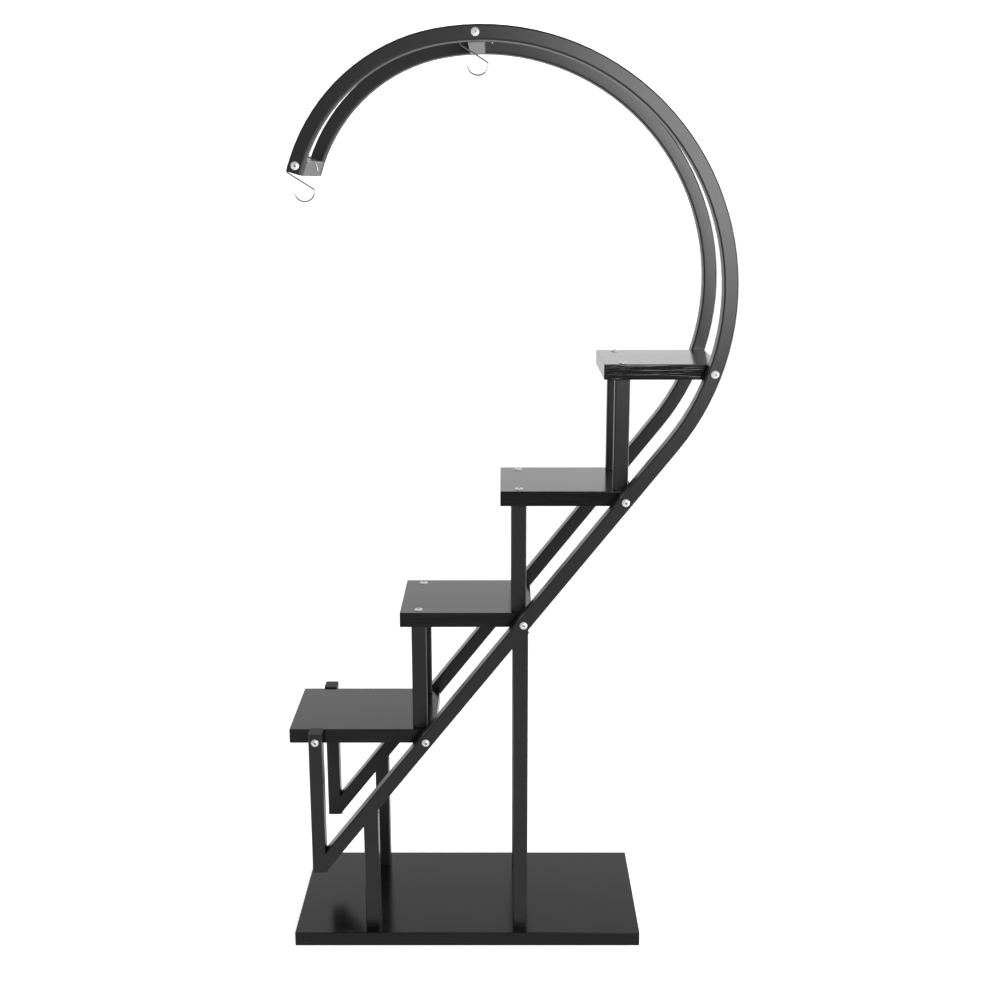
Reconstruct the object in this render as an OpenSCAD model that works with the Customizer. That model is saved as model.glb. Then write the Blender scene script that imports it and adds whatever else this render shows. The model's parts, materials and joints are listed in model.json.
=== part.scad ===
// Tiered plant stand: a base board carries two bent tube frames, front and rear.
// Each frame climbs from a short leg at the left, over two posts, past four stepped
// shelves, and curls over the top into an open ring. Two bars join the frames at the
// ring, and an S-shaped wire hook hangs on each of them.
// Millimetres, +X to the right, +Y to the rear, +Z up.
// Origin: middle of the base board's underside.

/* [Base] */

// Length of the base board
base_len = 600; // [560:10:700]

// Depth of the base board, front to rear
base_dep = 286; // [260:2:360]

// Thickness of the base board and the shelves
board_thk = 25; // [20:1:30]

// Radius of the boards' upright corners
board_corner = 2; // [0.5:0.5:8]

/* [Frame tubes] */

// Width of the bent tube, seen from the front
tube_w = 23; // [20:0.5:26]

// Depth of the bent tube, front to rear
tube_dep = 29; // [24:1:36]

// Wall thickness of all the tubes
tube_wall = 1.5; // [1:0.1:2]

// Outer corner radius of the frame tubes
tube_corner = 3; // [2.2:0.2:5]

// Rise of the slanted tube above the horizontal, in degrees
slant = 51.7; // [50.5:0.1:52.5]

// Length of the straight, slanted stretch along its middle line
slant_len = 936.6; // [900:2:960]

// Height where the slanted tube's middle line meets the leg
slant_foot_z = 148.2; // [130:2:165]

// Radius of the ring's first, wide bend
ring_r = 389.4; // [370:2:410]

// Turn of the ring's first bend, in degrees
ring_turn = 138.4; // [130:1:146]

// Radius of the ring's second, tighter bend
ring_end_r = 280.1; // [260:2:300]

// Turn of the ring's second bend, in degrees
ring_end_turn = 63.6; // [45:1:80]

/* [Leg and posts] */

// Distance of the leg from the middle of the stand, to the left
leg_x = 256.4; // [246:1:264]

// Distance of the low post from the middle, to the left
post_low_x = 165; // [130:5:190]

// Distance of the high post from the middle, to the right
post_high_x = 92; // [40:4:170]

// Width of the posts, seen from the front
post_w = 25; // [20:1:32]

/* [Shelves] */

// Depth of the shelves, and so the space between the frames
shelf_dep = 190; // [170:2:200]

// Height of the lowest shelf's top face
shelf_1_z = 384; // [360:4:410]

// Length of the lowest shelf
shelf_1_len = 250; // [232:2:270]

// Length of the second shelf
shelf_2_len = 222; // [200:2:240]

// Length of the third shelf
shelf_3_len = 218; // [200:2:240]

// Length of the highest shelf
shelf_4_len = 188; // [170:2:210]

// Overhang of each shelf past its frame bolt, to the right
shelf_over = 14.5; // [10:0.5:20]

/* [Supports] */

// Height of the supports between one shelf and the next
support_h = 184; // [170:2:196]

// Width of a support, seen from the front
support_w = 25; // [18:1:28]

// Depth of a support, front to rear
support_dep = 17; // [14:1:22]

// Distance of a support from the left end of the shelf above it
support_in = 31; // [20:1:34]

// Distance of a support's middle from the shelf's long edge
support_edge = 18; // [16:1:26]

// Thickness of the rim on a support's end caps
support_rim = 2; // [1:0.5:4]

/* [Bars and hooks] */

// Side of the square bars that join the frames
bar_w = 25; // [20:0.5:25]

// Corner radius of the square bars
bar_corner = 2; // [1.5:0.1:4]

// Place of the top bar on the ring's first bend, in degrees
top_bar_at = 91.3; // [84:1:96]

// Distance of the end bar from the end of the tube, along the bend
end_bar_in = 9.5; // [9.5:0.5:30]

// Thickness of the hook wire
wire_d = 2.5; // [2:0.1:3]

// Radius of the hook's upper loop, to the middle of the wire
hook_r = 24.5; // [24:0.5:30]

// Radius of the hook's lower loop, to the middle of the wire
hook_low_r = 16.3; // [14:0.5:18]

// Radius of the two small bends at the ends of the hook's shank
hook_bend_r = 4; // [3:0.5:6]

// Fall of the hook's shank below the horizontal, in degrees
hook_fall = 32; // [32:1:42]

// How far the upper loop reaches below its middle, in degrees
hook_tip = 0; // [-10:1:12]

// Turn of the lower loop, in degrees
hook_low_turn = 170; // [140:2:180]

// Place of both hooks along their bars, from the middle to the front
hook_y = 30; // [-70:5:70]

/* [Fasteners] */

// Shank diameter of all the bolts
bolt_d = 6; // [5:0.5:6]

// Head diameter of the bolts
head_d = 13; // [11:0.5:15]

// Head height of the bolts
head_h = 4; // [3:0.25:5]

// Head diameter of the bolts on the shelf tops
flat_head_d = 14; // [12:0.5:16]

// Head height of the bolts on the shelf tops
flat_head_h = 3; // [2.5:0.25:4]

// Straight height of a bolt head below its dome
head_rim = 1; // [0.5:0.25:1.5]

// Width across the flats of the six-sided socket in a bolt head
socket_w = 4; // [3:0.5:5]

// Depth of the socket in a bolt head
socket_deep = 2; // [1:0.25:2.2]

// Reach of the frame bolts past the tube, into the shelves and bars
frame_bolt_in = 11; // [8:1:12]

// Length of the bolts that hold the supports to the shelves
shelf_bolt_len = 40; // [36:1:44]

// Length of the bolts that hold the posts to the base
base_bolt_len = 35; // [30:1:38]

// Diameter of the sinks under the base for those bolt heads
sink_d = 16; // [15:0.5:20]

// Depth of the sinks under the base
sink_deep = 6; // [5.5:0.5:8]

// Outer diameter of the threaded inserts in the shelf edges
insert_d = 10; // [8.5:0.5:11]

// Length of the threaded inserts
insert_len = 12; // [10:0.5:13]

/* [Caps and plugs] */

// Thickness of the plastic caps on the open tube ends
cap_thk = 2.5; // [1.5:0.25:4]

// How far the plastic caps reach into the tubes
cap_in = 5; // [3:0.5:5]

// Length of the threaded plugs inside the tubes
plug_len = 20; // [16:1:24]

/* [Fits] */

// Clearance all round a cap, plug or insert, and round a bolt in its thread
fit_gap = 0.15; // [0.1:0.05:0.25]

// Clearance all round a bolt in a plain hole
hole_gap = 0.3; // [0.2:0.05:0.5]

// Clearance between the end of a bar and a frame
bar_gap = 0.1; // [0.05:0.05:0.3]

// Clearance between a hook and the bar that it hangs on
hang_gap = 0.3; // [0.2:0.05:0.5]

/* [Hidden] */

$fn = 64;

// Small overlap that carries a cut past the face it starts from
past = 1;

// Reach of the blocks that trim a tube, longer than the whole stand
reach = 2000;

// Step and lap of the joint between the two bends, in millimetres and degrees
seam_step = 0.02;
seam_turn = 0.1;

// The frames stand against the long edges of the shelves
frame_y = (shelf_dep + tube_dep) / 2;
frame_out_y = shelf_dep / 2 + tube_dep + seam_step;

// The slanted tube starts at the leg's right side
foot_x = -leg_x + tube_w / 2;
bend_x = foot_x + slant_len * cos(slant);
bend_z = slant_foot_z + slant_len * sin(slant);

// The ring's first bend leaves the slanted tube without a kink
ring_x = bend_x - ring_r * sin(slant);
ring_z = bend_z + ring_r * cos(slant);
ring_from = slant - 90;
ring_to = ring_from + ring_turn;

// The second bend leaves the first one without a kink
ring_end_x = ring_x + (ring_r - ring_end_r) * cos(ring_to);
ring_end_z = ring_z + (ring_r - ring_end_r) * sin(ring_to);
ring_stop = ring_to + ring_end_turn;

// The leg ends level with the lower corner of the slanted tube
leg_low_z = slant_foot_z - tube_w / 2 / cos(slant);

// Middle line of a frame at a height: the slanted stretch, and the bend above it
function slant_x(z) = foot_x + (z - slant_foot_z) / tan(slant);
function slant_z(x) = slant_foot_z + (x - foot_x) * tan(slant);
function bend_side_x(z) = ring_x + sqrt(ring_r * ring_r - (z - ring_z) * (z - ring_z));
function frame_x(z) = z < bend_z ? slant_x(z) : bend_side_x(z);

// Shelf n, counted from the lowest: heights, ends and the place of its bolts
shelf_step = support_h + board_thk;
function shelf_top(n) = shelf_1_z + (n - 1) * shelf_step;
function shelf_mid(n) = shelf_top(n) - board_thk / 2;
function shelf_len(n) = n == 1 ? shelf_1_len : n == 2 ? shelf_2_len : n == 3 ? shelf_3_len : shelf_4_len;
function shelf_bolt_x(n) = frame_x(shelf_mid(n));
function shelf_right(n) = shelf_bolt_x(n) + shelf_over;
function shelf_left(n) = shelf_right(n) - shelf_len(n);

// Supports carry the left end of shelf n and stand on shelf n - 1
function support_x(n) = shelf_left(n) + support_in;
support_y = shelf_dep / 2 - support_edge;

// Bars: their middles lie on the frames' middle line
end_bar_at = ring_stop - end_bar_in / ring_end_r * 180 / PI;
top_bar_x = ring_x + ring_r * cos(top_bar_at);
top_bar_z = ring_z + ring_r * sin(top_bar_at);
end_bar_x = ring_end_x + ring_end_r * cos(end_bar_at);
end_bar_z = ring_end_z + ring_end_r * sin(end_bar_at);

// A hook hangs with its upper loop on the two upper corners of its bar, so its
// turning point lies this far below the bar's middle, square to the upper side
bar_core = bar_w / 2 - bar_corner;
loop_in = hook_r - wire_d / 2 - hang_gap - bar_corner;
hook_drop = sqrt(loop_in * loop_in - bar_core * bar_core) - bar_core;
function up_side(a) = a - 90 * round((a - 90) / 90);
top_hook_x = top_bar_x - hook_drop * cos(up_side(top_bar_at));
top_hook_z = top_bar_z - hook_drop * sin(up_side(top_bar_at));
end_hook_x = end_bar_x - hook_drop * cos(up_side(end_bar_at));
end_hook_z = end_bar_z - hook_drop * sin(up_side(end_bar_at));

// Hook outline around its turning point: upper loop, bend, shank, bend, lower loop
hook_turn = 90 - hook_fall;
bend_1_x = hook_bend_r - hook_r;
shank_x = bend_1_x - hook_bend_r * sin(hook_fall);
shank_z = -hook_bend_r * cos(hook_fall);

// Balls round off the wire's two tips, and blend its stretches, a hair thicker than it
ball_d = wire_d * 1.02;
tip_x = hook_r * cos(hook_tip);
tip_z = -hook_r * sin(hook_tip);
low_tip_x = hook_low_r * cos(hook_low_turn);

// The shank's length puts the wire's middle of weight right under the turning point.
// Each pull is a stretch's length times its middle's X, per unit of wire section.
wire_spread = wire_d * wire_d / 16;
bend_arc = hook_bend_r * hook_turn * PI / 180;
low_arc = hook_low_r * hook_low_turn * PI / 180;
tip_len = ball_d * ball_d * ball_d / (3 * wire_d * wire_d);
bend_2_start_x = shank_x - hook_bend_r * sin(hook_fall);
low_start_x = bend_2_start_x + hook_bend_r - hook_low_r;
pull_loop = (hook_r * hook_r + wire_spread) * sin(hook_tip) + tip_x * tip_len;
pull_bend_1 = bend_1_x * bend_arc - (hook_bend_r * hook_bend_r + wire_spread) * cos(hook_fall);
pull_bend_2 = bend_2_start_x * bend_arc + (hook_bend_r * hook_bend_r + wire_spread) * cos(hook_fall);
pull_low = low_start_x * low_arc + (hook_low_r * hook_low_r + wire_spread) * sin(hook_low_turn);
pull_low_tip = (low_start_x + low_tip_x) * tip_len;
pull_still = pull_loop + pull_bend_1 + pull_bend_2 + pull_low + pull_low_tip;
pull_per_len = shank_x + cos(hook_fall) * (bend_arc + low_arc + tip_len);
pull_per_len_2 = cos(hook_fall) / 2;
pull_root = sqrt(pull_per_len * pull_per_len - 4 * pull_per_len_2 * pull_still);
shank_len = (pull_root - pull_per_len) / (2 * pull_per_len_2);

bend_2_x = bend_2_start_x + shank_len * cos(hook_fall);
bend_2_z = shank_z - hook_bend_r * cos(hook_fall) - shank_len * sin(hook_fall);
low_x = bend_2_x + hook_bend_r - hook_low_r;

frame_bolt_len = tube_dep + frame_bolt_in;
thread_d = bolt_d + 2 * fit_gap;
plain_hole_d = bolt_d + 2 * hole_gap;
socket_corner_d = socket_w / cos(30);

black_coat = [0.10, 0.10, 0.11];
black_board = [0.17, 0.17, 0.18];
steel = [0.78, 0.79, 0.80];
silver_coat = [0.66, 0.67, 0.68];
black_plastic = [0.07, 0.07, 0.07];
brass_tone = [0.72, 0.62, 0.38];

// Plain building shapes

module rounded(w, d, r) {
    square([w - 2 * r, d], center = true);
    square([w, d - 2 * r], center = true);
    for (x = [-1, 1]) {
        for (y = [-1, 1]) {
            translate([x * (w / 2 - r), y * (d / 2 - r)])
                circle(r = r);
        }
    }
}

module tube_section(w, d, r) {
    difference() {
        rounded(w, d, r);
        rounded(w - 2 * tube_wall, d - 2 * tube_wall, r - tube_wall);
    }
}

// Outline of a piece that slides into a tube with the fit clearance all round
module inner_section(w, d, r) {
    side = 2 * (tube_wall + fit_gap);
    rounded(w - side, d - side, max(r - tube_wall, 0.5));
}

module y_hole(x, z, d) {
    translate([x, 0, z])
        rotate([90, 0, 0])
            cylinder(h = reach, d = d, center = true);
}

module arc(x, z, r, from, turn) {
    translate([x, 0, z])
        rotate([90, 0, 0])
            rotate([0, 0, from])
                rotate_extrude(angle = turn)
                    translate([r, 0])
                        children();
}

module bolt(top_d, top_h, len) {
    rise = top_h - head_rim;
    dome_r = (top_d * top_d / 4 + rise * rise) / (2 * rise);
    difference() {
        union() {
            intersection() {
                cylinder(h = top_h, d = top_d);
                translate([0, 0, top_h - dome_r])
                    sphere(r = dome_r);
            }
            translate([0, 0, -len])
                cylinder(h = len, d = bolt_d);
        }
        translate([0, 0, top_h - socket_deep])
            cylinder(h = socket_deep + past, d = socket_corner_d, $fn = 6);
    }
}

// Mirrored copy for the rear frame
module both_sides() {
    children();
    mirror([0, 1, 0])
        children();
}

// Places along the frames

module at_supports(first, last) {
    for (n = [first:last]) {
        for (side = [-1, 1]) {
            translate([support_x(n), side * support_y, 0])
                children();
        }
    }
}

module at_posts() {
    for (x = [-post_low_x, post_high_x]) {
        translate([x, frame_y, 0])
            children();
        translate([x, -frame_y, 0])
            children();
    }
}

// Boards

module base_board() {
    color(black_board)
        difference() {
            linear_extrude(board_thk)
                rounded(base_len, base_dep, board_corner);
            at_posts() {
                translate([0, 0, -past])
                    cylinder(h = board_thk + 2 * past, d = plain_hole_d);
                translate([0, 0, -past])
                    cylinder(h = sink_deep + past, d = sink_d);
            }
        }
}

module edge_bore(x, z) {
    bore_d = insert_d + 2 * fit_gap;
    bore_deep = insert_len + past;
    for (side = [-1, 1]) {
        translate([x, side * (shelf_dep / 2 - bore_deep / 2 + past / 2), z])
            rotate([90, 0, 0])
                cylinder(h = bore_deep + past, d = bore_d, center = true);
    }
}

module shelf_hole(n) {
    for (side = [-1, 1]) {
        translate([support_x(n), side * support_y, -past])
            cylinder(h = reach, d = plain_hole_d);
    }
}

module shelf(n) {
    color(black_board)
        difference() {
            translate([shelf_right(n) - shelf_len(n) / 2, 0, shelf_top(n) - board_thk])
                linear_extrude(board_thk)
                    rounded(shelf_len(n), shelf_dep, board_corner);
            edge_bore(shelf_bolt_x(n), shelf_mid(n));
            if (n == 1) {
                edge_bore(-leg_x, shelf_mid(n));
            }
            if (n > 1) {
                shelf_hole(n);
            }
            if (n < 4) {
                shelf_hole(n + 1);
            }
        }
}

module shelf_1() {
    shelf(1);
}

module shelf_2() {
    shelf(2);
}

module shelf_3() {
    shelf(3);
}

module shelf_4() {
    shelf(4);
}

// Bent frame tubes, hollow, cut upright where they meet the leg. The end of the wide
// bend sits inside the wall of the tighter one, so the joint between them is square.

module tube_bend(r, turn, more) {
    wall_in = tube_wall + more;
    rotate_extrude(angle = turn)
        translate([r, 0])
            difference() {
                rounded(tube_w + 2 * more, tube_dep + 2 * more, tube_corner + more);
                rounded(tube_w - 2 * wall_in, tube_dep - 2 * wall_in, tube_corner - wall_in);
            }
}

module bent_tube() {
    translate([ring_x, 0, ring_z])
        rotate([90, 0, 0])
            rotate([0, 0, ring_from]) {
                translate([ring_r, 0, 0])
                    rotate([90, 0, 0])
                        linear_extrude(slant_len + tube_w)
                            tube_section(tube_w, tube_dep, tube_corner);
                tube_bend(ring_r, ring_turn + seam_turn, 0);
                rotate([0, 0, ring_turn])
                    translate([ring_r - ring_end_r, 0, 0])
                        tube_bend(ring_end_r, ring_end_turn, seam_step);
            }
}

module frame_tube() {
    color(black_coat)
        difference() {
            bent_tube();
            translate([foot_x - reach, -reach / 2, slant_foot_z - tube_w * 3])
                cube([reach, reach, tube_w * 6]);
            for (n = [1:4]) {
                y_hole(shelf_bolt_x(n), shelf_mid(n), plain_hole_d);
            }
            y_hole(top_bar_x, top_bar_z, plain_hole_d);
            y_hole(end_bar_x, end_bar_z, plain_hole_d);
        }
}

module front_frame_tube() {
    translate([0, -frame_y, 0])
        frame_tube();
}

module rear_frame_tube() {
    translate([0, frame_y, 0])
        frame_tube();
}

// Legs: short upright tubes between the slanted tube's foot and the lowest shelf

module leg() {
    color(black_coat)
        difference() {
            translate([-leg_x, 0, leg_low_z + cap_thk])
                linear_extrude(shelf_top(1) - leg_low_z - cap_thk)
                    tube_section(tube_w, tube_dep, tube_corner);
            y_hole(-leg_x, shelf_mid(1), plain_hole_d);
        }
}

module front_leg() {
    translate([0, -frame_y, 0])
        leg();
}

module rear_leg() {
    translate([0, frame_y, 0])
        leg();
}

// Posts: upright tubes from the base to the lower side of the slanted tube

module post(x) {
    color(black_coat)
        difference() {
            translate([x, 0, board_thk])
                linear_extrude(slant_z(x + post_w / 2) - board_thk)
                    tube_section(post_w, tube_dep, tube_corner);
            translate([foot_x, 0, slant_foot_z])
                rotate([0, -slant, 0])
                    translate([-reach / 2, -reach / 2, -tube_w / 2])
                        cube([2 * reach, reach, reach]);
        }
}

module front_post_low() {
    translate([0, -frame_y, 0])
        post(-post_low_x);
}

module front_post_high() {
    translate([0, -frame_y, 0])
        post(post_high_x);
}

module rear_post_low() {
    translate([0, frame_y, 0])
        post(-post_low_x);
}

module rear_post_high() {
    translate([0, frame_y, 0])
        post(post_high_x);
}

// Supports: short tubes that carry the left ends of the three upper shelves

module support(n, side) {
    color(black_coat)
        translate([support_x(n), side * support_y, shelf_top(n - 1) + support_rim])
            linear_extrude(support_h - 2 * support_rim)
                tube_section(support_w, support_dep, tube_corner);
}

module support_2_front() {
    support(2, -1);
}

module support_2_rear() {
    support(2, 1);
}

module support_3_front() {
    support(3, -1);
}

module support_3_rear() {
    support(3, 1);
}

module support_4_front() {
    support(4, -1);
}

module support_4_rear() {
    support(4, 1);
}

// End cap of a support, rim down, with a threaded core
module support_cap() {
    difference() {
        union() {
            linear_extrude(support_rim)
                rounded(support_w, support_dep, tube_corner);
            linear_extrude(plug_len)
                inner_section(support_w, support_dep, tube_corner);
        }
        translate([0, 0, -past])
            cylinder(h = plug_len + 2 * past, d = thread_d);
    }
}

module support_caps() {
    color(black_plastic)
        for (n = [2:4]) {
            for (side = [-1, 1]) {
                translate([support_x(n), side * support_y, shelf_top(n - 1)]) {
                    support_cap();
                    translate([0, 0, support_h])
                        mirror([0, 0, 1])
                            support_cap();
                }
            }
        }
}

// Bars between the frames

module bar() {
    color(silver_coat)
        rotate([90, 0, 0])
            linear_extrude(shelf_dep - 2 * bar_gap, center = true)
                tube_section(bar_w, bar_w, bar_corner);
}

module top_bar() {
    translate([top_bar_x, 0, top_bar_z])
        rotate([0, -top_bar_at, 0])
            bar();
}

module end_bar() {
    translate([end_bar_x, 0, end_bar_z])
        rotate([0, -end_bar_at, 0])
            bar();
}

module bar_plug() {
    translate([0, bar_gap - shelf_dep / 2, 0])
        rotate([-90, 0, 0])
            difference() {
                linear_extrude(plug_len)
                    inner_section(bar_w, bar_w, bar_corner);
                translate([0, 0, -past])
                    cylinder(h = plug_len + 2 * past, d = thread_d);
            }
}

module bar_plugs() {
    color(black_plastic) {
        translate([top_bar_x, 0, top_bar_z])
            rotate([0, -top_bar_at, 0])
                both_sides()
                    bar_plug();
        translate([end_bar_x, 0, end_bar_z])
            rotate([0, -end_bar_at, 0])
                both_sides()
                    bar_plug();
    }
}

// Hooks, bent from one wire in an upright plane

module wire_ball(x, z) {
    translate([x, 0, z])
        sphere(d = ball_d);
}

module hook() {
    color(steel) {
        arc(0, 0, hook_r, -hook_tip, 180 + hook_tip)
            circle(d = wire_d);
        arc(bend_1_x, 0, hook_bend_r, 180, hook_turn)
            circle(d = wire_d);
        translate([shank_x, 0, shank_z])
            rotate([0, 90 + hook_fall, 0])
                cylinder(h = shank_len, d = wire_d);
        arc(bend_2_x, bend_2_z, hook_bend_r, 0, hook_turn)
            circle(d = wire_d);
        arc(low_x, bend_2_z, hook_low_r, -hook_low_turn, hook_low_turn)
            circle(d = wire_d);
        wire_ball(tip_x, tip_z);
        wire_ball(-hook_r, 0);
        wire_ball(shank_x, shank_z);
        wire_ball(shank_x + shank_len * cos(hook_fall), shank_z - shank_len * sin(hook_fall));
        wire_ball(bend_2_x + hook_bend_r, bend_2_z);
        wire_ball(low_x + low_tip_x, bend_2_z - hook_low_r * sin(hook_low_turn));
    }
}

module top_hook() {
    translate([top_hook_x, -hook_y, top_hook_z])
        hook();
}

module end_hook() {
    translate([end_hook_x, -hook_y, end_hook_z])
        hook();
}

// Bolts through a frame into the shelves' edges, one of them through the leg

module frame_bolt(x, z) {
    translate([x, -frame_out_y, z])
        rotate([90, 0, 0])
            bolt(head_d, head_h, frame_bolt_len);
}

module shelf_side_bolts() {
    color(steel) {
        for (n = [1:4]) {
            frame_bolt(shelf_bolt_x(n), shelf_mid(n));
        }
        frame_bolt(-leg_x, shelf_mid(1));
    }
}

module front_side_bolts() {
    shelf_side_bolts();
}

module rear_side_bolts() {
    mirror([0, 1, 0])
        shelf_side_bolts();
}

// Bolts through the frames into the ends of the bars
module bar_bolts() {
    color(steel)
        both_sides() {
            frame_bolt(top_bar_x, top_bar_z);
            frame_bolt(end_bar_x, end_bar_z);
        }
}

// Bolts down through a shelf into the top caps of its supports
module shelf_top_bolts() {
    color(steel)
        for (n = [2:4]) {
            for (side = [-1, 1]) {
                translate([support_x(n), side * support_y, shelf_top(n)])
                    bolt(flat_head_d, flat_head_h, shelf_bolt_len);
            }
        }
}

// Bolts up through a shelf into the bottom caps of the supports that stand on it
module shelf_under_bolts() {
    color(steel)
        for (n = [2:4]) {
            for (side = [-1, 1]) {
                translate([support_x(n), side * support_y, shelf_top(n - 1) - board_thk])
                    mirror([0, 0, 1])
                        bolt(flat_head_d, flat_head_h, shelf_bolt_len);
            }
        }
}

// Bolts up through the base into the posts, heads sunk into the underside
module base_bolts() {
    color(steel)
        at_posts()
            translate([0, 0, sink_deep])
                mirror([0, 0, 1])
                    bolt(head_d, head_h, base_bolt_len);
}

// Threaded inserts in the long edges of the shelves
module board_insert(x, z) {
    translate([x, -shelf_dep / 2, z])
        rotate([-90, 0, 0])
            difference() {
                cylinder(h = insert_len, d = insert_d);
                translate([0, 0, -past])
                    cylinder(h = insert_len + 2 * past, d = thread_d);
            }
}

module board_inserts() {
    color(brass_tone)
        both_sides() {
            for (n = [1:4]) {
                board_insert(shelf_bolt_x(n), shelf_mid(n));
            }
            board_insert(-leg_x, shelf_mid(1));
        }
}

// Threaded plugs in the feet of the posts
module post_plugs() {
    color(black_plastic)
        at_posts()
            translate([0, 0, board_thk])
                difference() {
                    linear_extrude(plug_len)
                        inner_section(post_w, tube_dep, tube_corner);
                    translate([0, 0, -past])
                        cylinder(h = plug_len + 2 * past, d = thread_d);
                }
}

// Plastic cap for an open end of the frame tube, rim outside and core inside
module tube_cap() {
    linear_extrude(cap_thk)
        rounded(tube_w, tube_dep, tube_corner);
    translate([0, 0, -cap_in])
        linear_extrude(cap_in + cap_thk / 2)
            inner_section(tube_w, tube_dep, tube_corner);
}

module leg_caps() {
    color(black_plastic)
        both_sides()
            translate([-leg_x, -frame_y, 0]) {
                translate([0, 0, shelf_top(1)])
                    tube_cap();
                translate([0, 0, leg_low_z + cap_thk])
                    mirror([0, 0, 1])
                        tube_cap();
            }
}

module ring_end_caps() {
    color(black_plastic)
        both_sides()
            translate([ring_end_x, -frame_y, ring_end_z])
                rotate([0, -ring_stop, 0])
                    translate([ring_end_r, 0, 0])
                        tube_cap();
}

base_board();
shelf_1();
shelf_2();
shelf_3();
shelf_4();
front_frame_tube();
rear_frame_tube();
front_leg();
rear_leg();
front_post_low();
front_post_high();
rear_post_low();
rear_post_high();
support_2_front();
support_2_rear();
support_3_front();
support_3_rear();
support_4_front();
support_4_rear();
top_bar();
end_bar();
top_hook();
end_hook();
front_side_bolts();
rear_side_bolts();
bar_bolts();
shelf_top_bolts();
shelf_under_bolts();
base_bolts();
board_inserts();
support_caps();
post_plugs();
bar_plugs();
leg_caps();
ring_end_caps();
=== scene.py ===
import json
import math

import bmesh
import bpy
from mathutils import Matrix, Vector


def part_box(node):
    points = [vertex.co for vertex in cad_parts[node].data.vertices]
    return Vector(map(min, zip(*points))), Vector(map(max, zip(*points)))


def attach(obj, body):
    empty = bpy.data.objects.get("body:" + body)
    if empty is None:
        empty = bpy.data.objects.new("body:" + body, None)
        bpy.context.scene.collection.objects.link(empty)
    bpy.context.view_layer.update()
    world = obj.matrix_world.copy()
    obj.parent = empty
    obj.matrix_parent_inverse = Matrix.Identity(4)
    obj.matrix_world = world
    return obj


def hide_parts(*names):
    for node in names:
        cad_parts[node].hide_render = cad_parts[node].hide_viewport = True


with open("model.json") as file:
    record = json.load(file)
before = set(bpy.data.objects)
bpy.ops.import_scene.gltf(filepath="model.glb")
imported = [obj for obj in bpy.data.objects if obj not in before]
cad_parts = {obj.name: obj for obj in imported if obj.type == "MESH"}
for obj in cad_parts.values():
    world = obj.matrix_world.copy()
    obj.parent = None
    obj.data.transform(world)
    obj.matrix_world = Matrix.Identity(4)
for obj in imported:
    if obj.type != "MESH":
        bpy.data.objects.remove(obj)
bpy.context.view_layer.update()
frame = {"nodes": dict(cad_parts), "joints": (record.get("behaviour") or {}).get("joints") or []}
nodes = frame["nodes"]

# Base board: a 600 x 286 mm panel of 25 mm particle board in black wood-grain foil, with
# ribbed bands on its long sides. Its edges are lightly broken, and four round sinks in
# the underside take the heads of the bolts that hold the posts.


class Tone:
    """One output of a material's nodes, so that shader maths reads as an expression."""

    def __init__(self, tree, socket):
        self.tree = tree
        self.socket = socket

    def add(self, kind, settings=None, inputs=None, out=0):
        """Adds one node. The settings come first, then its values and links."""
        node = self.tree.nodes.new(kind)
        for name, value in (settings or {}).items():
            setattr(node, name, value)
        for name, value in (inputs or {}).items():
            if isinstance(value, Tone):
                self.tree.links.new(value.socket, node.inputs[name])
            else:
                node.inputs[name].default_value = value
        return Tone(self.tree, node.outputs[out])

    def maths(self, operation, first, second):
        return self.add("ShaderNodeMath", {"operation": operation}, {0: first, 1: second})

    def __add__(self, other):
        return self.maths("ADD", self, other)

    def __radd__(self, other):
        return self.maths("ADD", other, self)

    def __sub__(self, other):
        return self.maths("SUBTRACT", self, other)

    def __rsub__(self, other):
        return self.maths("SUBTRACT", other, self)

    def __mul__(self, other):
        return self.maths("MULTIPLY", self, other)

    def __rmul__(self, other):
        return self.maths("MULTIPLY", other, self)

    def between(self, low, high):
        """0 below low, 1 above high, and a smooth step between them."""
        limits = {"Value": self, "From Min": low, "From Max": high}
        return self.add("ShaderNodeMapRange", {"interpolation_type": "SMOOTHSTEP"}, limits)

    def blend(self, dark, light):
        """A colour between dark and light, by this value."""
        factor, first, second, result = 0, 6, 7, 2
        colours = {factor: self, first: (*dark, 1.0), second: (*light, 1.0)}
        return self.add("ShaderNodeMix", {"data_type": "RGBA"}, colours, result)

    def per_metre(self, x, y, z):
        """These coordinates, with so many units of a pattern to the metre each way."""
        return self.add("ShaderNodeMapping", inputs={"Vector": self, "Scale": (x, y, z)})

    def noise(self, detail, roughness=0.5, warp=0.0):
        """Soft noise from 0 to 1 over these coordinates."""
        values = {"Vector": self, "Scale": 1.0, "Detail": detail}
        values |= {"Roughness": roughness, "Distortion": warp}
        return self.add("ShaderNodeTexNoise", inputs=values)

    def relief(self, depth):
        """A bump whose full height is depth, in metres."""
        values = {"Strength": 1.0, "Distance": depth, "Height": self}
        return self.add("ShaderNodeBump", inputs=values)


class Finish:
    """A material: object coordinates to start from, and one shader to feed."""

    def __init__(self, name, **constants):
        self.material = bpy.data.materials.new(name)
        self.material.use_nodes = True
        self.tree = self.material.node_tree
        self.shader = self.tree.nodes["Principled BSDF"]
        for socket, value in constants.items():
            self.shader.inputs[socket.replace("_", " ")].default_value = value
        self.place = Tone(self.tree, self.tree.nodes.new("ShaderNodeTexCoord").outputs["Object"])

    def feed(self, **inputs):
        for socket, value in inputs.items():
            self.tree.links.new(value.socket, self.shader.inputs[socket.replace("_", " ")])
        return self.material


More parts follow.
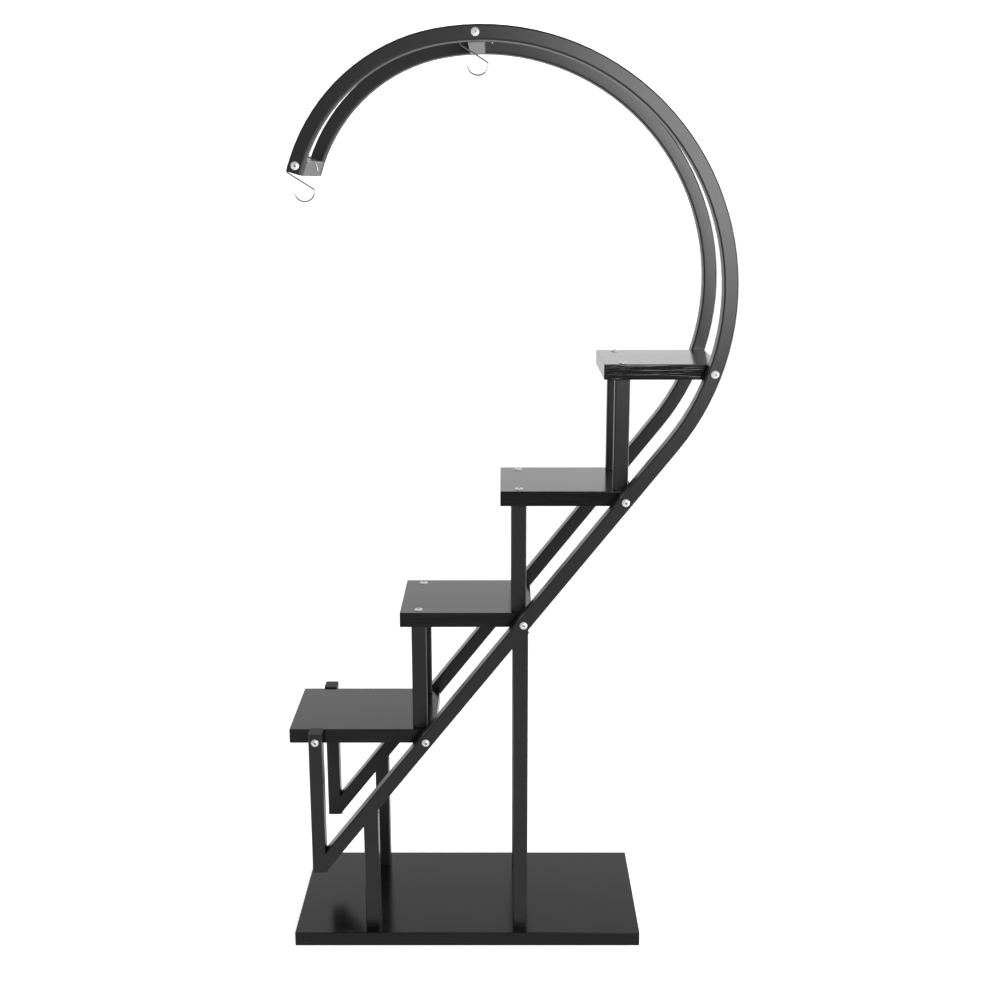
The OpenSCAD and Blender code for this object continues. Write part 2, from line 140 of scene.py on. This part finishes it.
def foil_finish():
    """Black foil with fine grain lines along the board, open pores and a cloudy gloss."""
    finish = Finish("black_grain_foil", IOR=1.42)
    sway = finish.place.per_metre(7, 60, 60).noise(2)
    lines = finish.place.per_metre(11, 260, 260).noise(4, roughness=0.55, warp=1.4)
    pores = finish.place.per_metre(34, 900, 900).noise(2).between(0.54, 0.70)
    cloud = finish.place.per_metre(4, 12, 12).noise(2)
    grain = lines * 0.6 + sway * 0.15 + pores * 0.25
    tint = grain.between(0.3, 0.7).blend((0.003, 0.003, 0.003), (0.009, 0.009, 0.010))
    gloss = 0.07 + cloud * 0.05 + grain * 0.16
    return finish.feed(Base_Color=tint, Roughness=gloss, Normal=grain.relief(0.000025))


def band_finish():
    """The band on the long sides, ribbed along its length by the pressed grain."""
    finish = Finish("black_edge_band", IOR=1.42)
    ribs = finish.place.per_metre(14, 230, 230).noise(2, warp=0.8)
    fine = finish.place.per_metre(30, 900, 900).noise(2)
    grain = ribs * 0.8 + fine * 0.2
    tint = grain.between(0.3, 0.7).blend((0.003, 0.003, 0.003), (0.008, 0.008, 0.008))
    gloss = 0.10 + fine * 0.08
    return finish.feed(Base_Color=tint, Roughness=gloss, Normal=ribs.relief(0.00035))


foil = foil_finish()
band = band_finish()


def show(name, mesh, material):
    """Makes an object of a finished bmesh, with its place in its vertices."""
    data = bpy.data.meshes.new(name)
    mesh.to_mesh(data)
    mesh.free()
    data.materials.append(material)
    piece = bpy.data.objects.new(name, data)
    bpy.context.scene.collection.objects.link(piece)
    return piece


def finish_piece(piece, body, slot, *stands_for, crease=35):
    """Shades a piece smooth with flat large faces, attaches it to its body and hides the CAD nodes
    it stands for. The slot is not used.
    """
    piece.data.shade_smooth()
    piece.data.set_sharp_from_angle(angle=math.radians(crease))
    flat = piece.modifiers.new("flat_faces", "WEIGHTED_NORMAL")
    flat.mode = "FACE_AREA"
    flat.keep_sharp = True
    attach(piece, body)
    if stands_for:
        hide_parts(*stands_for)


def bevel(mesh, edges, width, steps):
    bmesh.ops.bevel(
        mesh, geom=edges, offset=width, segments=steps,
        profile=0.5, affect="EDGES", material=-1)


def middle(node):
    """The middle of a CAD node's box."""
    low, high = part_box(node)
    return (low + high) / 2


def is_upright(edge):
    """Whether the two ends of an edge lie more than a millimetre apart in height."""
    return abs(edge.verts[0].co.z - edge.verts[1].co.z) > 0.001


def board(name, node):
    """A board as large as its CAD node, with rounded uprights and broken edges."""
    upright_round = 0.002
    edge_break = 0.0011
    low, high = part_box(node)
    mesh = bmesh.new()
    bmesh.ops.create_cube(mesh, size=1)
    bmesh.ops.scale(mesh, vec=high - low, verts=mesh.verts)
    bmesh.ops.translate(mesh, vec=middle(node), verts=mesh.verts)
    bevel(mesh, [e for e in mesh.edges if is_upright(e)], upright_round, 5)
    bevel(mesh, [e for e in mesh.edges if not is_upright(e)], edge_break, 3)
    for face in mesh.faces:
        on_long_side = abs(face.normal.y) > 0.9
        face.material_index = 1 if on_long_side else 0
    piece = show(name, mesh, foil)
    piece.data.materials.append(band)
    return piece


def sink_rounds(posts):
    """Round cutters for the head sinks, one under the middle of each post."""
    radius = 0.008
    depth = 0.006
    spare = 0.002
    mesh = bmesh.new()
    for post in posts:
        x, y, _ = middle(post)
        place = Matrix.Translation((x, y, (depth - spare) / 2))
        bmesh.ops.create_cone(
            mesh, cap_ends=True, segments=48, radius1=radius, radius2=radius,
            depth=depth + spare, matrix=place)
    return show("sink_rounds", mesh, foil)


def drill(piece, cutter):
    """Cuts one object's shape out of a piece, and removes the cutter."""
    cut = piece.modifiers.new("cut", "BOOLEAN")
    cut.object = cutter
    cut.solver = "EXACT"
    seen = piece.evaluated_get(bpy.context.evaluated_depsgraph_get())
    drilled = bpy.data.meshes.new_from_object(seen)
    piece.modifiers.clear()
    piece.data = drilled
    bpy.data.objects.remove(cutter)


base_board = board("base_panel", "base_board")
posts = ("front_post_low", "rear_post_low", "front_post_high", "rear_post_high")
drill(base_board, sink_rounds(posts))
finish_piece(base_board, "stand", "board", "base_board")


# Shelves: four panels of the same 25 mm board and foil, bolted by their long edges
# between the two frames. The lowest one's free end hangs between the legs, and each of
# the others stands with its free end on two supports.
for level in (1, 2, 3, 4):
    shelf = board(f"shelf_panel_{level}", f"shelf_{level}")
    finish_piece(shelf, "stand", "board", f"shelf_{level}")


# Frames, legs and posts: flat-sided steel tube, bent and welded, then powder coated in
# satin black. The coat is thicker than paint, with a fine orange peel and a few nibs.


def powder_coat(name, dark, light):
    finish = Finish(name, IOR=1.5)
    peel = finish.place.per_metre(520, 520, 520).noise(2)
    cloud = finish.place.per_metre(9, 9, 9).noise(3)
    nibs = finish.place.per_metre(1300, 1300, 1300).noise(1).between(0.66, 0.76)
    tint = (cloud * 0.7 + nibs * 0.3).blend(dark, light)
    gloss = 0.24 + cloud * 0.06 + peel * 0.06
    return finish.feed(Base_Color=tint, Roughness=gloss, Normal=peel.relief(0.00003))


black_coat = powder_coat(
    "black_powder_coat", dark=(0.010, 0.010, 0.011), light=(0.018, 0.018, 0.019))


def dress(material, *names):
    """Gives CAD nodes a material and leaves their meshes as they are."""
    for name in names:
        nodes[name].data.materials.clear()
        nodes[name].data.materials.append(material)


for side in ("front", "rear"):
    dress(black_coat, f"{side}_frame_tube", f"{side}_leg", f"{side}_post_low", f"{side}_post_high")


# Welds: the posts and legs are welded to the slanted tubes, and the beads on the tubes'
# flat sides are ground flush before coating, so each joint looks like one piece.
bead_thick = 0.0026
bead_broad = 0.0068
bead_edge_break = 0.0003


def edges_at(points):
    """The edges that meet at these points, each of them once."""
    return list(dict.fromkeys(e for p in points for e in p.link_edges))


def ground_weld(mesh, place, length, lean):
    """A flat bead along a joint, with its middle at a place, rising rightwards by lean."""
    size = Matrix.Diagonal((length, bead_thick, bead_broad, 1))
    shape = Matrix.Translation(place) @ Matrix.Rotation(-lean, 4, "Y") @ size
    made = bmesh.ops.create_cube(mesh, size=1, matrix=shape)["verts"]
    bevel(mesh, edges_at(made), bead_edge_break, 2)


def welds(side):
    """The beads on both faces of one frame: beside its leg, and on top of its two posts."""
    slant = math.radians(51.7)
    foot_z = 0.1482
    proud_outside, proud_inside = 0.00004, 0.00002
    shorter_at_leg, shorter_at_post = 0.002, 0.003
    leg_low, leg_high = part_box(f"{side}_leg")
    inside, outside = sorted((abs(leg_low.y), abs(leg_high.y)))
    half_rise = (leg_high.x - leg_low.x) / 2 / math.cos(slant)
    outer_bead = outside + proud_outside - bead_thick / 2
    inner_bead = inside - proud_inside + bead_thick / 2
    mesh = bmesh.new()
    for from_middle in (outer_bead, inner_bead):
        y = math.copysign(from_middle, leg_low.y)
        length = 2 * half_rise - shorter_at_leg
        ground_weld(mesh, (leg_high.x, y, foot_z), length, math.pi / 2)
        for post in (f"{side}_post_low", f"{side}_post_high"):
            low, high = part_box(post)
            x = middle(post).x
            under = foot_z + (x - leg_high.x) * math.tan(slant) - half_rise
            length = (high.x - low.x) / math.cos(slant) - shorter_at_post
            ground_weld(mesh, (x, y, under), length, slant)
    return mesh


for side in ("front", "rear"):
    finish_piece(show(f"{side}_welds", welds(side), black_coat), "stand", "frame")


# Supports: six short tubes with the same coat. Each pair stands on one shelf and
# carries the free end of the next.
for level in (2, 3, 4):
    dress(black_coat, f"support_{level}_front", f"support_{level}_rear")


# Bars: two square tubes across the ring, coated in silver grey, bolted to the frames
# at both ends.
silver_coat = powder_coat(
    "silver_powder_coat", dark=(0.135, 0.135, 0.138), light=(0.17, 0.17, 0.175))
dress(silver_coat, "top_bar", "end_bar")


# Hooks: one length of 2.5 mm steel wire each, bent to an S and chrome plated. They hang
# on the bars by their upper loops and swing there.


def chrome_finish():
    finish = Finish("chrome_plate", Metallic=1.0)
    wear = finish.place.per_metre(260, 260, 260).noise(3, roughness=0.6)
    tint = wear.blend((0.30, 0.31, 0.32), (0.42, 0.43, 0.44))
    gloss = 0.06 + wear * 0.10
    return finish.feed(Base_Color=tint, Roughness=gloss, Normal=wear.relief(0.00001))


chrome = chrome_finish()


def only(kind, geometry):
    """The points or the edges among what an operator gives back."""
    return [part for part in geometry if isinstance(part, kind)]


def points_of(edges):
    """The points at the ends of these edges, each of them once."""
    return list(dict.fromkeys(p for e in edges for p in e.verts))


def close_wire(mesh, edges, outward, radius):
    """Closes an open end of the wire with a low round dome."""
    height = radius / 2
    ring = points_of(edges)
    centre = sum((p.co for p in ring), Vector()) / len(ring)
    rise = 0.0
    width = 1.0
    for degrees in (30, 60, 80):
        angle = math.radians(degrees)
        grown = bmesh.ops.extrude_edge_only(mesh, edges=edges)["geom"]
        edges = [e for e in only(bmesh.types.BMEdge, grown) if e.is_boundary]
        ring = points_of(edges)
        step = height * math.sin(angle) - rise
        rise += step
        bmesh.ops.translate(mesh, vec=outward * step, verts=ring)
        shrink = math.cos(angle) / width
        width = math.cos(angle)
        about = Matrix.Translation(-centre - outward * rise)
        bmesh.ops.scale(mesh, vec=(shrink, shrink, shrink), space=about, verts=ring)
    bmesh.ops.edgeloop_fill(mesh, edges=edges)


def wire_hook(name, turning_point):
    """Bends the wire from its upper end, round each bend in turn, to its lower end."""
    upper_loop, lower_loop, small_bend = 0.0245, 0.0163, 0.004
    fall = math.radians(32)
    low_turn = math.radians(170)
    # The wire is a hair thinner than the CAD's, to stay inside it. The shank is so long
    # that the hook's middle of weight hangs under its turning point.
    wire = 0.00248
    shank = 0.046288
    mesh = bmesh.new()

    def bend(tip, x, z, angle, steps):
        """Sweeps the tip about a point. A positive angle climbs from right to left."""
        turned = bmesh.ops.spin(
            mesh, geom=tip, cent=(x, 0, z), axis=(0, -1, 0), angle=angle, steps=steps,
            use_duplicate=False)
        return turned["geom_last"]

    place = Matrix.Translation((upper_loop, 0, 0))
    start = bmesh.ops.create_circle(
        mesh, cap_ends=False, segments=16, radius=wire / 2, matrix=place)["verts"]
    first = edges_at(start)
    tip = bend(first + start, 0, 0, math.pi, steps=48)
    x = small_bend - upper_loop
    tip = bend(tip, x, 0, math.pi / 2 - fall, steps=10)
    drawn = bmesh.ops.extrude_edge_only(mesh, edges=only(bmesh.types.BMEdge, tip))["geom"]
    tip = [part for part in drawn if not isinstance(part, bmesh.types.BMFace)]
    draw = Vector((math.cos(fall), 0, -math.sin(fall))) * shank
    bmesh.ops.translate(mesh, vec=draw, verts=only(bmesh.types.BMVert, tip))
    x += draw.x - 2 * small_bend * math.sin(fall)
    z = draw.z - 2 * small_bend * math.cos(fall)
    tip = bend(tip, x, z, fall - math.pi / 2, steps=10)
    tip = bend(tip, x + small_bend - lower_loop, z, -low_turn, steps=44)
    last = only(bmesh.types.BMEdge, tip)
    close_wire(mesh, first, Vector((0, 0, -1)), wire / 2)
    close_wire(mesh, last, Vector((-math.sin(low_turn), 0, -math.cos(low_turn))), wire / 2)
    bmesh.ops.remove_doubles(mesh, verts=mesh.verts, dist=0.000005)
    bmesh.ops.recalc_face_normals(mesh, faces=mesh.faces)
    bmesh.ops.translate(mesh, vec=turning_point, verts=mesh.verts)
    return show(name, mesh, chrome)


for joint in frame["joints"]:
    hook = joint["child"]
    piece = wire_hook(f"{hook}_wire", Vector(joint["pos_m"]))
    finish_piece(piece, hook, "hook", hook, crease=60)


# Bolts: zinc plated steel with domed heads and six-sided sockets. Those in the frames
# and under the base have rounder heads than the low, wide ones in the shelves.


def zinc_finish():
    finish = Finish("zinc_plate", Metallic=0.5, IOR=1.8)
    cloud = finish.place.per_metre(160, 160, 160).noise(3, roughness=0.6)
    fine = finish.place.per_metre(1400, 1400, 1400).noise(1)
    tint = cloud.blend((0.78, 0.79, 0.80), (0.88, 0.89, 0.90))
    gloss = 0.26 + cloud * 0.16
    return finish.feed(Base_Color=tint, Roughness=gloss, Normal=fine.relief(0.00001))


def socket_shade_finish():
    """The sockets' walls, in darker metal: painted shade in the recess."""
    finish = Finish("painted_socket_shade", Metallic=1.0)
    cloud = finish.place.per_metre(300, 300, 300).noise(2)
    tint = cloud.blend((0.30, 0.30, 0.31), (0.42, 0.42, 0.43))
    return finish.feed(Base_Color=tint, Roughness=0.34 + cloud * 0.16)


zinc = zinc_finish()
socket_shade_metal = socket_shade_finish()


def lathe(mesh, outline, steps):
    """Turns an outline of radius and height about the Z axis."""
    line = [mesh.verts.new((radius, 0, height)) for radius, height in outline]
    edges = [mesh.edges.new(pair) for pair in zip(line, line[1:])]
    bmesh.ops.spin(
        mesh, geom=line + edges, cent=(0, 0, 0), axis=(0, 0, 1), angle=math.tau,
        steps=steps, use_merge=True)
    bmesh.ops.remove_doubles(mesh, verts=mesh.verts, dist=0.00001)


def cut_socket(part, radius, top, depth, steps):
    """Sinks a six-sided socket into a head that is still open at the top."""
    mouth = [e for e in part.edges if e.is_boundary and e.verts[0].co.z > 0]
    place = Matrix.Translation((0, 0, top))
    hexagon = bmesh.ops.create_circle(
        part, cap_ends=False, segments=6, radius=radius, matrix=place)["verts"]
    cuts = steps // 6 - 1
    bmesh.ops.subdivide_edges(part, edges=edges_at(hexagon), cuts=cuts, use_grid_fill=False)
    lip = [e for e in part.edges if not e.link_faces]
    bmesh.ops.bridge_loops(part, edges=mouth + lip)
    grown = bmesh.ops.extrude_edge_only(part, edges=lip)["geom"]
    floor_edges = [e for e in only(bmesh.types.BMEdge, grown) if e.is_boundary]
    bmesh.ops.translate(part, vec=(0, 0, -depth), verts=points_of(floor_edges))
    bmesh.ops.edgeloop_fill(part, edges=floor_edges)


def bolt(width, height, length):
    """A bolt's mesh, with its head above Z = 0 and its shank below."""
    steps = 48
    shank_radius, shank_chamfer = 0.003, 0.0006
    rim_height, rim_chamfer = 0.001, 0.0003
    key_width, mouth_chamfer = 0.004, 0.0003
    socket_radius = key_width / 2 / math.cos(math.radians(30))
    socket_depth = height * 0.55
    half = width / 2
    outline = [(0.0, -length), (shank_radius - shank_chamfer, -length)]
    outline += [(shank_radius, shank_chamfer - length), (shank_radius, 0)]
    outline += [(half - rim_chamfer, 0), (half, rim_chamfer), (half, rim_height - rim_chamfer)]
    rise = height - rim_height
    dome_radius = (half * half + rise * rise) / (2 * rise)
    dome_middle = height - dome_radius
    edge = math.asin((half - rim_chamfer) / dome_radius)
    mouth = math.asin((socket_radius + mouth_chamfer) / dome_radius)
    rows = 8
    for row in range(rows + 1):
        angle = edge + (mouth - edge) * row / rows
        level = dome_middle + dome_radius * math.cos(angle)
        outline.append((dome_radius * math.sin(angle), level))
    part = bmesh.new()
    lathe(part, outline, steps)
    cut_socket(part, socket_radius, level - mouth_chamfer, socket_depth, steps)
    bmesh.ops.recalc_face_normals(part, faces=part.faces)
    for face in part.faces:
        farthest = max(p.co.xy.length for p in face.verts)
        lowest = min(p.co.z for p in face.verts)
        in_socket = lowest > 0 and farthest < socket_radius + 0.0001
        # The sockets' faces take the darker metal, which paints the shade in the recess.
        face.material_index = 1 if in_socket else 0
    shape = bpy.data.meshes.new("bolt")
    part.to_mesh(shape)
    part.free()
    return shape


def solids(node):
    """The lowest and highest corner of each separate solid of a CAD node."""
    copy = bmesh.new()
    copy.from_mesh(nodes[node].data)
    bmesh.ops.remove_doubles(copy, verts=copy.verts, dist=0.000001)
    boxes = []
    counted = set()
    for point in copy.verts:
        if point in counted:
            continue
        group = {point}
        reached = {point}
        while reached:
            reached = {e.other_vert(p) for p in reached for e in p.link_edges} - group
            group |= reached
        counted |= group
        low = Vector([min(p.co[axis] for p in group) for axis in range(3)])
        high = Vector([max(p.co[axis] for p in group) for axis in range(3)])
        boxes.append((low, high))
    copy.free()
    return boxes


def bolts(node, heads, width, height, length):
    """One bolt for each solid of a node. Heads are up, down, or out at each frame's side."""
    shape = bolt(width, height, length)
    mesh = bmesh.new()
    for low, high in solids(node):
        side = math.copysign(1, low.y + high.y)
        facing = Vector({"up": (0, 0, 1), "down": (0, 0, -1), "out": (0, side, 0)}[heads])
        half_length = abs((high - low).dot(facing)) / 2
        foot = (low + high) / 2 + facing * (half_length - height)
        turn = facing.to_track_quat("Z", "Y").to_matrix().to_4x4()
        placed = shape.copy()
        placed.transform(Matrix.Translation(foot) @ turn)
        mesh.from_mesh(placed)
        bpy.data.meshes.remove(placed)
    bpy.data.meshes.remove(shape)
    piece = show(node.removesuffix("s") + "_set", mesh, zinc)
    # The second slot holds the darker metal that paints the sockets' shade.
    piece.data.materials.append(socket_shade_metal)
    finish_piece(piece, "stand", "bolt", node, crease=30)


for node in ("front_side_bolts", "rear_side_bolts", "bar_bolts"):
    bolts(node, "out", width=0.013, height=0.004, length=0.040)
bolts("shelf_top_bolts", "up", width=0.014, height=0.003, length=0.040)
bolts("shelf_under_bolts", "down", width=0.014, height=0.003, length=0.040)
bolts("base_bolts", "down", width=0.013, height=0.004, length=0.035)


# Threaded inserts: turned brass, pressed into the shelves' long edges for the side
# bolts.


def brass_finish():
    finish = Finish("turned_brass", Metallic=1.0)
    marks = finish.place.per_metre(500, 500, 500).noise(3, roughness=0.6)
    tint = marks.blend((0.48, 0.33, 0.13), (0.66, 0.48, 0.21))
    gloss = 0.25 + marks * 0.2
    return finish.feed(Base_Color=tint, Roughness=gloss, Normal=marks.relief(0.00002))


dress(brass_finish(), "board_inserts")


# Caps and plugs: moulded black plastic with a fine spark finish, pressed into the open
# ends of the tubes. The rims of the caps have softly rounded edges.


def plastic_finish():
    finish = Finish("moulded_black_plastic", IOR=1.46)
    spark = finish.place.per_metre(900, 900, 900).noise(2)
    cloud = finish.place.per_metre(60, 60, 60).noise(2)
    tint = cloud.blend((0.008, 0.008, 0.008), (0.015, 0.015, 0.015))
    gloss = 0.50 + spark * 0.15
    return finish.feed(Base_Color=tint, Roughness=gloss, Normal=spark.relief(0.00005))


plastic = plastic_finish()


def is_sharp(edge):
    """Whether two faces meet at an edge by more than 50 degrees."""
    return len(edge.link_faces) == 2 and edge.calc_face_angle() > math.radians(50)


def softened_copy(name, node, material, width):
    """A copy of a CAD node's shape with its sharp edges rounded."""
    mesh = bmesh.new()
    mesh.from_mesh(nodes[node].data)
    bmesh.ops.remove_doubles(mesh, verts=mesh.verts, dist=0.000001)
    flat = math.radians(1)
    bmesh.ops.dissolve_limit(mesh, angle_limit=flat, verts=mesh.verts, edges=mesh.edges)
    bevel(mesh, [e for e in mesh.edges if is_sharp(e)], width, 2)
    return show(name, mesh, material)


for node in ("support_caps", "leg_caps", "ring_end_caps"):
    caps = softened_copy(f"{node}_moulded", node, plastic, width=0.0004)
    finish_piece(caps, "stand", "cap", node)
dress(plastic, "post_plugs", "bar_plugs")


# Studio: a pale floor and a pale backdrop that glow evenly, and two soft lights. Gloss
# doesn't see the floor or the backdrop, but a white wall behind the stand and a grey
# room in front of it, which the world draws.


def floor_finish():
    finish = Finish("pale_floor", IOR=1.45, Emission_Strength=1.0)
    cloud = finish.place.per_metre(2, 2, 2).noise(2)
    tint = cloud.blend((0.86, 0.86, 0.86), (0.93, 0.93, 0.93))
    shine = cloud.blend((0.66, 0.66, 0.66), (0.72, 0.72, 0.72))
    return finish.feed(Base_Color=tint, Emission_Color=shine, Roughness=0.8 + cloud * 0.1)


def backdrop_finish():
    finish = Finish("pale_backdrop", Emission_Strength=1.0)
    cloud = finish.place.per_metre(0.05, 0.05, 0.05).noise(2)
    tint = cloud.blend((0.86, 0.86, 0.86), (0.93, 0.93, 0.93))
    shine = cloud.blend((1.02, 1.02, 1.02), (1.08, 1.08, 1.08))
    return finish.feed(Base_Color=tint, Emission_Color=shine)


# The floor runs on past the backdrop, so that no view shows its edge.
half_floor = 90
ground = bmesh.new()
bmesh.ops.create_grid(ground, x_segments=1, y_segments=1, size=half_floor)
floor = show("floor", ground, floor_finish())
floor.visible_glossy = False

backdrop_radius = 55
around = bmesh.new()
bmesh.ops.create_uvsphere(around, u_segments=64, v_segments=32, radius=backdrop_radius)
bmesh.ops.reverse_faces(around, faces=around.faces)
backdrop = show("backdrop", around, backdrop_finish())
backdrop.visible_glossy = False
backdrop.visible_diffuse = False
backdrop.visible_shadow = False


def draw_room(sky):
    """The room that gloss sees. A direction runs rightwards, rearwards and upwards."""
    direction = Tone(sky, sky.nodes.new("ShaderNodeTexCoord").outputs["Generated"])
    right, rear, up = (
        direction.add("ShaderNodeSeparateXYZ", inputs={"Vector": direction}, out=part)
        for part in (0, 1, 2))

    # The white wall, a little darker high up, and brightest just above eye level.
    overhead = up.between(0.36, 0.58)
    bright_band = up.between(-0.05, 0.05) * (1.0 - up.between(0.14, 0.24))
    wall = rear.between(-0.2, 0.3) * up.between(-0.75, -0.35)
    wall = wall * (1.0 - overhead * 0.46)
    wall = wall * (0.88 + bright_band * 0.12)

    # A dark screen low on the wall, from its middle rightwards, with a small gap in it.
    screen = up.between(-0.42, -0.34) * (1.0 - up.between(-0.05, -0.01))
    screen = screen * right.between(-0.30, -0.18)
    gap = right.between(-0.16, -0.12) * (1.0 - right.between(-0.05, -0.01))
    gap = gap * up.between(-0.22, -0.18) * (1.0 - up.between(-0.13, -0.10))
    wall = wall * (1.0 - screen * (1.0 - gap) * 0.75)

    # The grey room, lighter towards its floor and on the left.
    low_down = 1.0 - up.between(-0.45, -0.10)
    on_left = (1.0 - right.between(-0.22, -0.06)) * up.between(-0.3, -0.1)
    room = 0.10 + low_down * 0.33
    room = room + on_left * 0.12
    return (room + wall * (1.0 - room)).blend((0.0, 0.0, 0.0), (1.0, 1.0, 1.0))


world = bpy.data.worlds.new("studio")
bpy.context.scene.world = world
world.use_nodes = True
sky = world.node_tree
background = sky.nodes["Background"]
background.inputs["Strength"].default_value = 1.2
sky.links.new(draw_room(sky).socket, background.inputs["Color"])


def soft_light(name, place, aim, size, power):
    lamp = bpy.data.lights.new(name, "AREA")
    lamp.shape = "RECTANGLE"
    lamp.size, lamp.size_y = size
    lamp.energy = power
    light = bpy.data.objects.new(name, lamp)
    light.location = place
    light.rotation_euler = (Vector(aim) - Vector(place)).to_track_quat("-Z", "Y").to_euler()
    light.visible_camera = False
    bpy.context.scene.collection.objects.link(light)


soft_light(
    "front_light", place=(0.93, -2.25, 1.57), aim=(0.3, -0.1, 1.25), size=(1.2, 1.3), power=41)
soft_light(
    "side_light", place=(2.0, 0.1, 0.9), aim=(0.0, 0.0, 0.7), size=(1.2, 1.8), power=34)

# Camera: in front of the stand at the height of its ring, tilted a little down.
film_width = 36
focal_length_in_widths = 1.3327
lens = bpy.data.cameras.new("camera")
lens.sensor_width = film_width
lens.lens = film_width * focal_length_in_widths
lens.clip_end = backdrop_radius + 5
camera = bpy.data.objects.new("camera", lens)
camera.location = (0.06143, -2.22158, 1.29868)
tilt, roll, turn = 76.491, 0.056, 0.088
camera.rotation_euler = (math.radians(tilt), math.radians(roll), math.radians(turn))
bpy.context.scene.collection.objects.link(camera)
bpy.context.scene.camera = camera
bpy.context.scene.view_settings.view_transform = "Standard"
